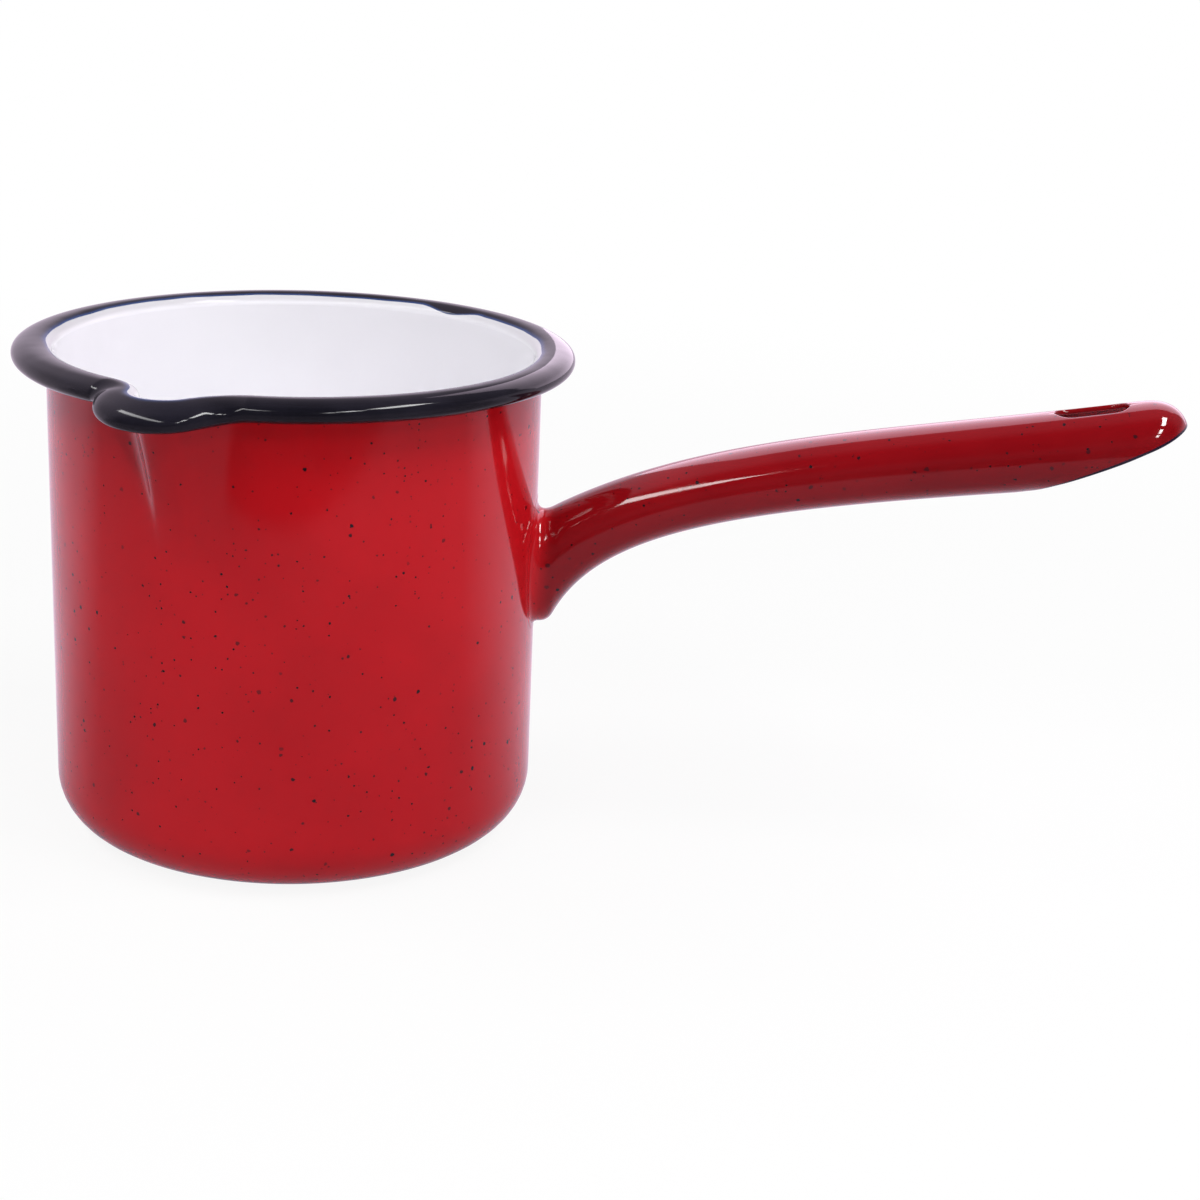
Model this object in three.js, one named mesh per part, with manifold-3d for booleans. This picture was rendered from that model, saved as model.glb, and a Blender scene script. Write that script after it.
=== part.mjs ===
// An enamelled steel coffee pot: a drawn body with a pouring lip pressed into its wall, a white lining,
// a black rolled rim, and a hollow rolled handle that stands on the wall by a flared, welded foot.
// Millimetres, +Z up, origin at the centre of the base, the handle along +X.
import * as THREE from 'three';
import { mergeVertices } from 'three/addons/utils/BufferGeometryUtils.js';
import Module from 'manifold-3d';

// Body: the straight wall, its base corner and the two layers of its shell
const BODY_DIAMETER = 100;
const BODY_HEIGHT = 99.8; // base to the upper edge of the wall, at mid-height of the rolled rim
const BODY_WALL = 1.2; // steel sheet with its red coat
const BASE_CORNER = 10.8; // outside radius between base and wall
const LINING_THICKNESS = 0.4;

// Rolled rim: an oval curl of the wall's own sheet
const RIM_WIDTH = 7.9; // across the curl, from the inside of the wall outwards
const RIM_DEPTH = 4.7; // top to bottom of the curl
const RIM_CLEARANCE = 0.3; // between the curl's free edge and the wall

// Pouring lip: a flute that widens and deepens towards the rim
const LIP_AZIMUTH = -109.3; // degrees round from the handle
const LIP_REACH = 8.6; // how far the wall is pressed out at its upper edge
const LIP_NOSE_RADIUS = 6.2; // plan radius of the flute at the upper edge
const LIP_CREASE_RADIUS = 8; // plan radius of the tight fold where the flute starts, away from the handle
const LIP_EASE_RADIUS = 12; // plan radius of the softer bend where it ends, on the handle's side
const LIP_LENGTH = 33; // how far the flute runs down the wall
const LIP_TAIL = 0.13; // width of the flute's lower end, as a share of its upper width
const LIP_CURVE = 1.5; // power by which the flute deepens with height

// Handle: side view measured from the wall outwards and from the base upwards
const HANDLE_SHEET = 1.1;
const HANDLE_WIDTH = 17.5;
const HANDLE_LENGTH = 132.5; // wall to nose
const HANDLE_NOSE = 9; // length of the rounded end
const HANDLE_END_HEIGHT = 17; // height of the section where the rounded end starts
const HANDLE_END_TOP = 97; // height of the top line where the rounded end starts
const HANDLE_END_SLOPE = 0.14; // rise of the handle's outer part
const TOP_BOW = [[0.27, 0.63], [0.56, 0.67]]; // how the top line bends: control points as shares of its run and rise
const BOTTOM_BOW = [[0.08, 0.635], [0.33, 0.76]]; // the same for the bottom line
const TOP_PACE = 1.75; // power that keeps a section's top abreast of its bottom
const FOOT_TOP = 69;
const FOOT_BOTTOM = 44.7;
const FOOT_STAND = 3.2; // how far the tube stands off the wall before it flares
const FOOT_SEAT = 0.3; // enamel between the foot and the wall
const FOOT_FLARE = 1.4; // how far the tube's end spreads on the wall, all round
const TUBE_CORNER = 2.3; // corner power of the tube's section and rounded end, where 2 is an ellipse

// Cuts in the handle
const SLOT_LENGTH = 15;
const SLOT_WIDTH = 6.8;
const SLOT_FROM_NOSE = 20; // nose to the middle of the hanging slot
const TRIM_LENGTH = 36.5; // the oblique open end, measured back from the nose
const TRIM_TOP = 2.5; // from the top line down to where the oblique cut leaves the nose
const TRIM_BOW = [0.7, 0.56]; // control point of the oblique cut, as shares of its run and rise
const SEAM_WIDTH = 0.8; // gap between the two rolled edges under the handle

// Weld round the foot
const WELD_DIAMETER = 1.2;
const WELD_CLEARANCE = 0.3;

// How finely curves are divided
const LIP_COLUMNS = 20;
const WALL_COLUMNS = 52;
const CORNER_ROWS = 4;
const LIP_ROWS = 8;
const RIM_STEPS = 11;
const TUBE_SIDES = 32;
const TUBE_RINGS = 14;
const NOSE_RINGS = 5;
const WELD_SIDES = 8;
const CURVE_STEPS = 20;
const MERGE_DISTANCE = 1e-5;
const SLOPE_STEP = 1e-3; // step for measuring how the lip's surface leans

const bodyRadius = BODY_DIAMETER / 2;
const wasm = await Module();
wasm.setup();

function spaced(from, to, count) {
  return Array.from({ length: count }, (_, index) => from + ((to - from) * index) / count);
}

// Joins closed rings of points, each running right-handed about the way the rings travel.
// Each quad is split by its shorter diagonal, so two layers that share rings share faces too.
// An open run of rings is closed by a fan at each end; a loop of rings closes on itself.
function loft(rings, isLoop = false) {
  const sides = rings[0].length;
  const points = rings.flat();
  const triangles = [];
  const spans = isLoop ? rings.length : rings.length - 1;
  for (let ring = 0; ring < spans; ring += 1) {
    const next = (ring + 1) % rings.length;
    for (let side = 0; side < sides; side += 1) {
      const beside = (side + 1) % sides;
      const a = ring * sides + side;
      const b = ring * sides + beside;
      const c = next * sides + beside;
      const d = next * sides + side;
      const isShorter = points[a].distanceTo(points[c]) <= points[b].distanceTo(points[d]);
      if (isShorter) triangles.push(a, b, c, a, c, d);
      else triangles.push(a, b, d, b, c, d);
    }
  }
  if (!isLoop) {
    addFan(points, triangles, 0, sides, true);
    addFan(points, triangles, (rings.length - 1) * sides, sides, false);
  }
  const geometry = new THREE.BufferGeometry().setFromPoints(points);
  geometry.setIndex(triangles);
  return geometry;
}

function addFan(points, triangles, first, sides, isStart) {
  const centre = new THREE.Vector3();
  for (let side = 0; side < sides; side += 1) centre.addScaledVector(points[first + side], 1 / sides);
  const hub = points.push(centre) - 1;
  for (let side = 0; side < sides; side += 1) {
    const here = first + side;
    const beside = first + ((side + 1) % sides);
    if (isStart) triangles.push(hub, beside, here);
    else triangles.push(hub, here, beside);
  }
}

function toSolid(geometry) {
  geometry.deleteAttribute('normal');
  geometry.deleteAttribute('uv');
  const merged = mergeVertices(geometry, MERGE_DISTANCE);
  const triVerts = new Uint32Array(merged.index.array);
  const vertProperties = merged.attributes.position.array;
  return new wasm.Manifold(new wasm.Mesh({ numProp: 3, vertProperties, triVerts }));
}

function toGeometry(solid) {
  const mesh = solid.getMesh();
  const geometry = new THREE.BufferGeometry();
  geometry.setAttribute('position', new THREE.BufferAttribute(mesh.vertProperties, 3));
  geometry.setIndex(new THREE.BufferAttribute(mesh.triVerts, 1));
  return geometry;
}

function named(name, geometry, look) {
  geometry.computeVertexNormals();
  const mesh = new THREE.Mesh(geometry, new THREE.MeshStandardMaterial(look));
  mesh.name = name;
  return mesh;
}

// Pouring lip. In plan each half of its outline is a nose arc that turns into a bend on the round wall.
const lipAzimuth = THREE.MathUtils.degToRad(LIP_AZIMUTH);
const foldSide = lipSide(LIP_CREASE_RADIUS);
const easeSide = lipSide(LIP_EASE_RADIUS);

function lipSide(bend) {
  const arcs = LIP_NOSE_RADIUS + bend;
  const flank = Math.acos(1 - LIP_REACH / arcs);
  return { bend, halfWidth: arcs * Math.sin(flank), turn: LIP_NOSE_RADIUS * Math.sin(flank) };
}

function lipOutline(offset) {
  const { bend, halfWidth, turn } = offset < 0 ? foldSide : easeSide;
  const across = Math.abs(offset);
  if (across >= halfWidth) return 0;
  if (across < turn) return LIP_REACH - LIP_NOSE_RADIUS + Math.sqrt(LIP_NOSE_RADIUS ** 2 - across ** 2);
  return bend - Math.sqrt(bend ** 2 - (halfWidth - across) ** 2);
}

function lipPress(azimuth, height) {
  const rise = (height - BODY_HEIGHT + LIP_LENGTH) / LIP_LENGTH;
  if (rise <= 0) return 0;
  const width = LIP_TAIL + (1 - LIP_TAIL) * rise;
  const turned = azimuth - lipAzimuth;
  const offset = bodyRadius * Math.atan2(Math.sin(turned), Math.cos(turned));
  return lipOutline(offset / width) * rise ** LIP_CURVE;
}

// Columns round the pot are closer together at the lip.
const foldTurn = foldSide.halfWidth / bodyRadius;
const easeTurn = easeSide.halfWidth / bodyRadius;
const columns = [
  ...spaced(-foldTurn, easeTurn, LIP_COLUMNS),
  ...spaced(easeTurn, 2 * Math.PI - foldTurn, WALL_COLUMNS),
].map((turn) => lipAzimuth + turn);

// Rows up the outside: the edge of the flat base, the corner and the wall.
const lipStart = BODY_HEIGHT - LIP_LENGTH;
const cornerRows = spaced(0, Math.PI / 2, CORNER_ROWS).map((lean) => ({
  radius: bodyRadius - BASE_CORNER * (1 - Math.sin(lean)),
  height: BASE_CORNER * (1 - Math.cos(lean)),
  lean,
}));
const wallHeights = [BASE_CORNER, ...spaced(lipStart, BODY_HEIGHT, LIP_ROWS), BODY_HEIGHT];
const wallRows = wallHeights.map((height) => ({ radius: bodyRadius, height, lean: Math.PI / 2 }));
const rows = [...cornerRows, ...wallRows];

// Point on the outside, with the outward normal and the two directions along the surface there.
function wallFrame(azimuth, row) {
  const press = lipPress(azimuth, row.height);
  const radius = row.radius + press;
  const ahead = lipPress(azimuth + SLOPE_STEP, row.height) - lipPress(azimuth - SLOPE_STEP, row.height);
  const above = lipPress(azimuth, row.height + SLOPE_STEP) - lipPress(azimuth, row.height - SLOPE_STEP);
  const turnSlope = ahead / (2 * SLOPE_STEP * radius);
  const riseSlope = above / (2 * SLOPE_STEP);
  const outward = new THREE.Vector3(Math.cos(azimuth), Math.sin(azimuth), 0);
  const sideways = new THREE.Vector3(-Math.sin(azimuth), Math.cos(azimuth), 0);
  const point = outward.clone().multiplyScalar(radius).setZ(row.height);
  const normal = outward.clone().multiplyScalar(Math.sin(row.lean));
  normal.addScaledVector(sideways, -turnSlope);
  normal.z = -Math.cos(row.lean) - riseSlope;
  normal.normalize();
  const along = sideways.clone().addScaledVector(outward, turnSlope).normalize();
  const up = normal.clone().cross(along).normalize();
  return { point, normal, up };
}

function wallRing(row, depth) {
  return columns.map((azimuth) => {
    const { point, normal } = wallFrame(azimuth, row);
    return point.addScaledVector(normal, -depth);
  });
}

// A layer of the shell between two depths below the outside of the pot.
function shellLayer(outerDepth, innerDepth) {
  const outside = rows.map((row) => wallRing(row, outerDepth));
  const inside = rows.map((row) => wallRing(row, innerDepth)).reverse();
  return loft([...outside, ...inside]);
}

// Rolled rim: the sheet leaves the wall's upper edge, turns over outwards and ends short of the wall.
function rimSection() {
  const centre = RIM_WIDTH / 2 - BODY_WALL;
  const freeEdge = -Math.acos((RIM_CLEARANCE - centre) / (RIM_WIDTH / 2));
  const turns = [...spaced(Math.PI, freeEdge, RIM_STEPS), freeEdge];
  const curl = (inset) => turns.map((turn) => [
    centre + (RIM_WIDTH / 2 - inset) * Math.cos(turn),
    (RIM_DEPTH / 2 - inset) * Math.sin(turn),
  ]);
  return [...curl(0), ...curl(BODY_WALL).reverse()];
}

function rolledRim() {
  const section = rimSection();
  const edge = rows[rows.length - 1];
  const rings = columns.map((azimuth) => {
    const { point, normal, up } = wallFrame(azimuth, edge);
    return section.map(([across, rise]) => (
      point.clone().addScaledVector(normal, across).addScaledVector(up, rise)
    ));
  });
  return loft(rings, true);
}

// Handle. Its side view is a top line and a bottom line that leave the foot together.
const noseX = bodyRadius + HANDLE_LENGTH;
const endX = noseX - HANDLE_NOSE;
const endBottom = HANDLE_END_TOP - HANDLE_END_HEIGHT;
const standX = bodyRadius + FOOT_STAND;
const topLine = bowedLine(standX, FOOT_TOP, endX, HANDLE_END_TOP, TOP_BOW);
const bottomLine = bowedLine(standX, FOOT_BOTTOM, endX, endBottom, BOTTOM_BOW);

function bowedLine(startX, startZ, stopX, stopZ, bow) {
  const at = ([run, rise]) => new THREE.Vector2(startX + run * (stopX - startX), startZ + rise * (stopZ - startZ));
  return new THREE.CubicBezierCurve(at([0, 0]), at(bow[0]), at(bow[1]), at([1, 1]));
}

function ovalRing(sides, corner, place) {
  return spaced(0, 2 * Math.PI, sides).map((turn) => {
    const cosine = Math.cos(turn);
    const sine = Math.sin(turn);
    const across = Math.sign(cosine) * Math.abs(cosine) ** (2 / corner);
    const rise = Math.sign(sine) * Math.abs(sine) ** (2 / corner);
    return place(across, -rise);
  });
}

function tubeRing(share, inset) {
  const top = topLine.getPoint(share ** TOP_PACE);
  const bottom = bottomLine.getPoint(share);
  const middle = top.clone().add(bottom).multiplyScalar(0.5);
  const half = top.clone().sub(bottom).multiplyScalar(0.5);
  const scale = 1 - inset / half.length();
  return ovalRing(TUBE_SIDES, TUBE_CORNER, (across, rise) => new THREE.Vector3(
    middle.x + half.x * scale * rise,
    (HANDLE_WIDTH / 2 - inset) * across,
    middle.y + half.y * scale * rise,
  ));
}

// The rounded end closes the tube like half an egg, as full as its section.
function noseRing(share, inset) {
  const turn = (share * Math.PI) / 2;
  const length = (HANDLE_NOSE - inset) * Math.sin(turn) ** (2 / TUBE_CORNER);
  const shrink = Math.cos(turn) ** (2 / TUBE_CORNER);
  const halfWidth = (HANDLE_WIDTH / 2 - inset) * shrink;
  const halfHeight = (HANDLE_END_HEIGHT / 2 - inset) * shrink;
  const middle = (HANDLE_END_TOP + endBottom) / 2 + length * HANDLE_END_SLOPE;
  return ovalRing(TUBE_SIDES, TUBE_CORNER, (across, rise) => (
    new THREE.Vector3(endX + length, halfWidth * across, middle + halfHeight * rise)
  ));
}

// A ring of the foot: the tube's oval, spread all round, at a height above the round wall.
function footRing(spread, lift) {
  const middle = (FOOT_TOP + FOOT_BOTTOM) / 2;
  const halfHeight = (FOOT_TOP - FOOT_BOTTOM) / 2 + spread;
  const halfWidth = HANDLE_WIDTH / 2 + spread;
  return ovalRing(TUBE_SIDES, TUBE_CORNER, (across, rise) => {
    const y = halfWidth * across;
    const x = Math.sqrt((bodyRadius + lift) ** 2 - y ** 2);
    return new THREE.Vector3(x, y, middle + halfHeight * rise);
  });
}

function handleBlank() {
  const noseShares = spaced(0, 1, NOSE_RINGS).reverse();
  const tubeShares = spaced(0, 1, TUBE_RINGS).reverse();
  const outside = [
    ...noseShares.map((share) => noseRing(share, 0)),
    ...tubeShares.map((share) => tubeRing(share, 0)),
    footRing(FOOT_FLARE / 4, FOOT_SEAT + FOOT_FLARE),
    footRing(FOOT_FLARE, FOOT_SEAT + FOOT_FLARE / 4),
    footRing(FOOT_FLARE, FOOT_SEAT),
  ];
  const inside = [
    footRing(-HANDLE_SHEET, FOOT_SEAT),
    ...tubeShares.reverse().map((share) => tubeRing(share, HANDLE_SHEET)),
    ...noseShares.reverse().map((share) => noseRing(share, HANDLE_SHEET)),
  ];
  return loft([...outside, ...inside]);
}

// Cutter with a side view in X and Z, as deep in Y as asked and centred on the handle.
function sideCutter(outline, depth) {
  const cutter = new THREE.ExtrudeGeometry(outline, { depth, bevelEnabled: false, curveSegments: CURVE_STEPS });
  cutter.translate(0, 0, -depth / 2);
  cutter.rotateX(Math.PI / 2);
  return toSolid(cutter);
}

function trimCutter() {
  const startX = noseX - TRIM_LENGTH;
  const startZ = endBottom - (endX - startX) * HANDLE_END_SLOPE;
  const stopX = noseX + HANDLE_SHEET;
  const stopZ = HANDLE_END_TOP - TRIM_TOP;
  const bowX = startX + TRIM_BOW[0] * (stopX - startX);
  const bowZ = startZ + TRIM_BOW[1] * (stopZ - startZ);
  const outline = new THREE.Shape();
  outline.moveTo(startX, startZ);
  outline.quadraticCurveTo(bowX, bowZ, stopX, stopZ);
  outline.lineTo(stopX, startZ - HANDLE_END_HEIGHT);
  outline.lineTo(startX, startZ - HANDLE_END_HEIGHT);
  return sideCutter(outline, 2 * HANDLE_WIDTH);
}

function seamCutter() {
  const line = bottomLine.getPoints(CURVE_STEPS);
  const above = line.map((point) => new THREE.Vector2(point.x, point.y + 3 * HANDLE_SHEET));
  const below = line.map((point) => new THREE.Vector2(point.x, point.y - 3 * HANDLE_SHEET));
  return sideCutter(new THREE.Shape([...below, ...above.reverse()]), SEAM_WIDTH);
}

function slotCutter() {
  const radius = SLOT_WIDTH / 2;
  const half = SLOT_LENGTH / 2 - radius;
  const outline = new THREE.Shape();
  outline.absarc(-half, 0, radius, Math.PI / 2, 1.5 * Math.PI, false);
  outline.absarc(half, 0, radius, -Math.PI / 2, Math.PI / 2, false);
  const depth = HANDLE_END_HEIGHT;
  const cutter = new THREE.ExtrudeGeometry(outline, { depth, bevelEnabled: false, curveSegments: CURVE_STEPS });
  cutter.translate(noseX - SLOT_FROM_NOSE, 0, HANDLE_END_TOP - depth / 2);
  return toSolid(cutter);
}

function handleShell() {
  const blank = toSolid(handleBlank());
  return toGeometry(blank.subtract(trimCutter()).subtract(seamCutter()).subtract(slotCutter()));
}

// Weld round the foot: a thin bead on the wall, just outside the flare.
function footWeld() {
  const lift = WELD_CLEARANCE + WELD_DIAMETER / 2;
  const path = footRing(FOOT_FLARE + lift, lift);
  const curve = new THREE.CatmullRomCurve3(path, true);
  const rings = path.map((centre, index) => {
    const along = curve.getTangent(index / path.length);
    const outward = new THREE.Vector3(centre.x, centre.y, 0).normalize();
    const aside = outward.clone().cross(along).normalize();
    return spaced(0, 2 * Math.PI, WELD_SIDES).map((turn) => (
      centre.clone()
        .addScaledVector(outward, (WELD_DIAMETER / 2) * Math.sin(turn))
        .addScaledVector(aside, (WELD_DIAMETER / 2) * Math.cos(turn))
    ));
  });
  return loft(rings, true);
}

const redEnamel = { color: '#a5161f', roughness: 0.12, metalness: 0 };
const whiteEnamel = { color: '#e9e6f0', roughness: 0.1, metalness: 0 };
const blackEnamel = { color: '#101014', roughness: 0.1, metalness: 0 };

const coffeePot = new THREE.Group();
coffeePot.name = 'coffee_pot';
coffeePot.add(
  named('pot_body', shellLayer(0, BODY_WALL), redEnamel),
  named('inner_lining', shellLayer(BODY_WALL, BODY_WALL + LINING_THICKNESS), whiteEnamel),
  named('rolled_rim', rolledRim(), blackEnamel),
  named('handle_shell', handleShell(), redEnamel),
  named('foot_weld', footWeld(), redEnamel),
);

export default coffeePot;
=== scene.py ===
import math

import bmesh
import bpy
from mathutils import Matrix, Vector


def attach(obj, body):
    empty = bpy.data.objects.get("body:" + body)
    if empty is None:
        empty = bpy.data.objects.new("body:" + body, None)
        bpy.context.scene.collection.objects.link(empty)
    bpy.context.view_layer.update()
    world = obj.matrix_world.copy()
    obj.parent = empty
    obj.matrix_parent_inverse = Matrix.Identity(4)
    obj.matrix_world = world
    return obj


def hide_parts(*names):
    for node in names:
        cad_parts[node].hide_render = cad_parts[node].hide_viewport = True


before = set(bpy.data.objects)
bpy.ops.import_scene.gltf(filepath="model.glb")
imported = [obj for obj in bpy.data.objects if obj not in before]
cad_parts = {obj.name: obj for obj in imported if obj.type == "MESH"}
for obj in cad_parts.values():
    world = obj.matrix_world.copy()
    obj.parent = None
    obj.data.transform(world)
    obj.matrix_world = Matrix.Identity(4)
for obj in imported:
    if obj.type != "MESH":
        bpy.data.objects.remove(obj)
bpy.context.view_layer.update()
scene = bpy.context.scene
scene.view_settings.view_transform = "Standard"
mm = 0.001
fullTurn = 2 * math.pi
quarterTurn = math.pi / 2
noiseMiddle = 0.5  # noise runs from 0 to 1
plainWhite = (1, 1, 1, 1)
print("frame loaded:", ", ".join(sorted(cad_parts)))


# small helpers for node trees: a value is either a socket to link or a plain number
def addNode(tree, kind, **settings):
    node = tree.nodes.new(kind)
    for name, value in settings.items():
        setattr(node, name, value)
    return node


def feed(tree, socket, value):
    if isinstance(value, bpy.types.NodeSocket):
        tree.links.new(value, socket)
    else:
        socket.default_value = value


def feedAll(tree, sockets, values):
    for socket, value in zip(sockets, values):
        feed(tree, socket, value)


def calc(tree, operation, *values):
    node = addNode(tree, "ShaderNodeMath", operation=operation)
    feedAll(tree, node.inputs, values)
    return node.outputs[0]


def vectorCalc(tree, operation, *values):
    node = addNode(tree, "ShaderNodeVectorMath", operation=operation)
    sockets = [node.inputs["Vector"], node.inputs["Scale"]] if operation == "SCALE" else node.inputs
    feedAll(tree, sockets, values)
    return node.outputs["Vector"]


def length(tree, vector):
    node = addNode(tree, "ShaderNodeVectorMath", operation="LENGTH")
    feed(tree, node.inputs[0], vector)
    return node.outputs["Value"]


def xyz(tree, x, y, z):
    node = addNode(tree, "ShaderNodeCombineXYZ")
    feedAll(tree, node.inputs, (x, y, z))
    return node.outputs[0]


def split(tree, vector):
    node = addNode(tree, "ShaderNodeSeparateXYZ")
    feed(tree, node.inputs[0], vector)
    return node.outputs


def ranged(tree, value, low, high, toLow=0.0, toHigh=1.0):
    node = addNode(tree, "ShaderNodeMapRange", interpolation_type="SMOOTHSTEP")
    feedAll(tree, node.inputs, (value, low, high, toLow, toHigh))
    return node.outputs[0]


def noise(tree, place, scale, detail):
    node = addNode(tree, "ShaderNodeTexNoise")
    feed(tree, node.inputs["Vector"], place)
    feed(tree, node.inputs["Scale"], scale)
    feed(tree, node.inputs["Detail"], detail)
    return node.outputs


# noise that swings about zero
def sway(tree, place, scale, detail):
    return calc(tree, "SUBTRACT", noise(tree, place, scale, detail)[0], noiseMiddle)


# a power that keeps the sign of its value
def signedPower(tree, value, power):
    size = calc(tree, "POWER", calc(tree, "ABSOLUTE", value), power)
    return calc(tree, "MULTIPLY", calc(tree, "SIGN", value), size)


# how far an arc stands above its centre, at a distance across from it
def arcRise(tree, radius, across):
    squares = [calc(tree, "MULTIPLY", side, side) for side in (radius, across)]
    return calc(tree, "SQRT", calc(tree, "MAXIMUM", calc(tree, "SUBTRACT", *squares), 0.0))


# the pot's sizes in millimetres, as in the solids, which have no dents
pot = {
    "Radius": 50.0,
    "Height": 99.8,  # upper edge of the wall, mid-height of the rim
    "Corner": 10.8,  # round between base and wall
    "Wall": 1.2,
    "Lining": 0.4,
    "Rim width": 7.9,
    "Rim depth": 4.7,
    "Rim dents": 0.5,  # from the highest swell to the deepest dent of the rolled edge
    "Lip reach": 8.6,
    "Lip nose": 6.2,  # plan radius of the flute
    "Lip crease": 8.0,  # plan radius of the fold where the flute starts
    "Lip ease": 12.0,  # plan radius of the softer bend where it ends
    "Lip length": 33.0,
}
lip = {
    "azimuth": math.radians(-109.3),
    "tail": 0.50,  # share of the flute's width left at its lower end
    "curve": 1.5,  # power by which the flute deepens
}


# how far the lip is pressed out of the round wall, at an azimuth and a height
def lipPress(tree, size, azimuth, height):
    climbed = calc(tree, "SUBTRACT", height, calc(tree, "SUBTRACT", size["Height"], size["Lip length"]))
    rise = calc(tree, "MAXIMUM", calc(tree, "DIVIDE", climbed, size["Lip length"]), 0.0)
    width = calc(tree, "MULTIPLY_ADD", rise, 1 - lip["tail"], lip["tail"])
    turned = calc(tree, "SUBTRACT", azimuth, lip["azimuth"])
    turned = calc(tree, "ARCTAN2", calc(tree, "SINE", turned), calc(tree, "COSINE", turned))
    offset = calc(tree, "MULTIPLY", turned, size["Radius"])
    onFold = calc(tree, "LESS_THAN", offset, 0.0)
    tighter = calc(tree, "SUBTRACT", size["Lip crease"], size["Lip ease"])
    bend = calc(tree, "MULTIPLY_ADD", onFold, tighter, size["Lip ease"])
    across = calc(tree, "DIVIDE", calc(tree, "ABSOLUTE", offset), width)
    # the nose arc goes over into the bend's arc at the flank, where both lean alike
    arcs = calc(tree, "ADD", size["Lip nose"], bend)
    flankRise = calc(tree, "SUBTRACT", 1.0, calc(tree, "DIVIDE", size["Lip reach"], arcs))
    flank = calc(tree, "SINE", calc(tree, "ARCCOSINE", flankRise))
    half = calc(tree, "MULTIPLY", arcs, flank)
    turn = calc(tree, "MULTIPLY", size["Lip nose"], flank)
    noseRise = arcRise(tree, size["Lip nose"], calc(tree, "MINIMUM", across, turn))
    noseArc = calc(tree, "ADD", calc(tree, "SUBTRACT", size["Lip reach"], size["Lip nose"]), noseRise)
    beyond = calc(tree, "MAXIMUM", calc(tree, "SUBTRACT", half, across), 0.0)
    bendArc = calc(tree, "SUBTRACT", bend, arcRise(tree, bend, beyond))
    onNose = calc(tree, "LESS_THAN", across, turn)
    outline = calc(tree, "MULTIPLY_ADD", onNose, calc(tree, "SUBTRACT", noseArc, bendArc), bendArc)
    return calc(tree, "MULTIPLY", outline, calc(tree, "POWER", rise, lip["curve"]))


# a tree with sizes as named inputs, and a grid whose two ways run round the piece and along its section
def startTree(name, sizes):
    tree = bpy.data.node_groups.new(name, "GeometryNodeTree")
    tree.interface.new_socket("Geometry", in_out="OUTPUT", socket_type="NodeSocketGeometry")
    for label in list(sizes) + ["Depth"]:
        tree.interface.new_socket(label, in_out="INPUT", socket_type="NodeSocketFloat")
    for label in ("Columns", "Rows"):
        tree.interface.new_socket(label, in_out="INPUT", socket_type="NodeSocketInt")
    tree.interface.new_socket("Material", in_out="INPUT", socket_type="NodeSocketMaterial")
    inputs = addNode(tree, "NodeGroupInput")
    size = {socket.name: socket for socket in inputs.outputs if socket.name}
    grid = addNode(tree, "GeometryNodeMeshGrid")
    feed(tree, grid.inputs["Size X"], 1.0)
    feed(tree, grid.inputs["Size Y"], 1.0)
    feed(tree, grid.inputs["Vertices X"], size["Columns"])
    feed(tree, grid.inputs["Vertices Y"], size["Rows"])
    place = split(tree, addNode(tree, "GeometryNodeInputPosition").outputs[0])
    turn = calc(tree, "MULTIPLY_ADD", place["X"], fullTurn, math.pi)
    along = calc(tree, "ADD", place["Y"], 0.5)  # from 0 to 1
    return tree, size, grid.outputs["Mesh"], turn, along


def turnedTo(tree, point, azimuth):
    turned = addNode(tree, "ShaderNodeVectorRotate", rotation_type="Z_AXIS")
    feed(tree, turned.inputs["Vector"], point)
    feed(tree, turned.inputs["Angle"], azimuth)
    return turned.outputs[0]


# one step of a tree: a node that takes the geometry in, with its other inputs by name, and hands it on
def handOn(tree, geometry, kind, inputs, **settings):
    node = addNode(tree, kind, **settings)
    feed(tree, node.inputs["Geometry"], geometry)
    for name, value in inputs.items():
        feed(tree, node.inputs[name], value)
    return node.outputs[0]


mergeReach = 0.01 * mm


# places the grid, closes its seam and pole, sinks it by a depth, keeps open edges crisp and finishes the tree
def endTree(tree, size, mesh, point, depth, marks=()):
    for name, value in marks:
        inputs = {"Name": name, "Value": value}
        mesh = handOn(tree, mesh, "GeometryNodeStoreNamedAttribute", inputs,
                      data_type="FLOAT", domain="POINT")
    mesh = handOn(tree, mesh, "GeometryNodeSetPosition", {"Position": point})
    mesh = handOn(tree, mesh, "GeometryNodeMergeByDistance", {"Distance": mergeReach})
    normal = addNode(tree, "GeometryNodeInputNormal").outputs[0]
    sink = vectorCalc(tree, "SCALE", normal, calc(tree, "MULTIPLY", depth, -1.0))
    mesh = handOn(tree, mesh, "GeometryNodeSetPosition", {"Offset": sink})
    mesh = handOn(tree, mesh, "GeometryNodeSetShadeSmooth", {})
    faceCount = addNode(tree, "GeometryNodeInputMeshEdgeNeighbors").outputs["Face Count"]
    crisp = {"Selection": calc(tree, "LESS_THAN", faceCount, 2.0), "Shade Smooth": False}
    mesh = handOn(tree, mesh, "GeometryNodeSetShadeSmooth", crisp, domain="EDGE")
    mesh = handOn(tree, mesh, "GeometryNodeRealizeInstances", {})
    mesh = handOn(tree, mesh, "GeometryNodeSetMaterial", {"Material": size["Material"]})
    feed(tree, addNode(tree, "NodeGroupOutput").inputs["Geometry"], mesh)
    return tree


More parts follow.
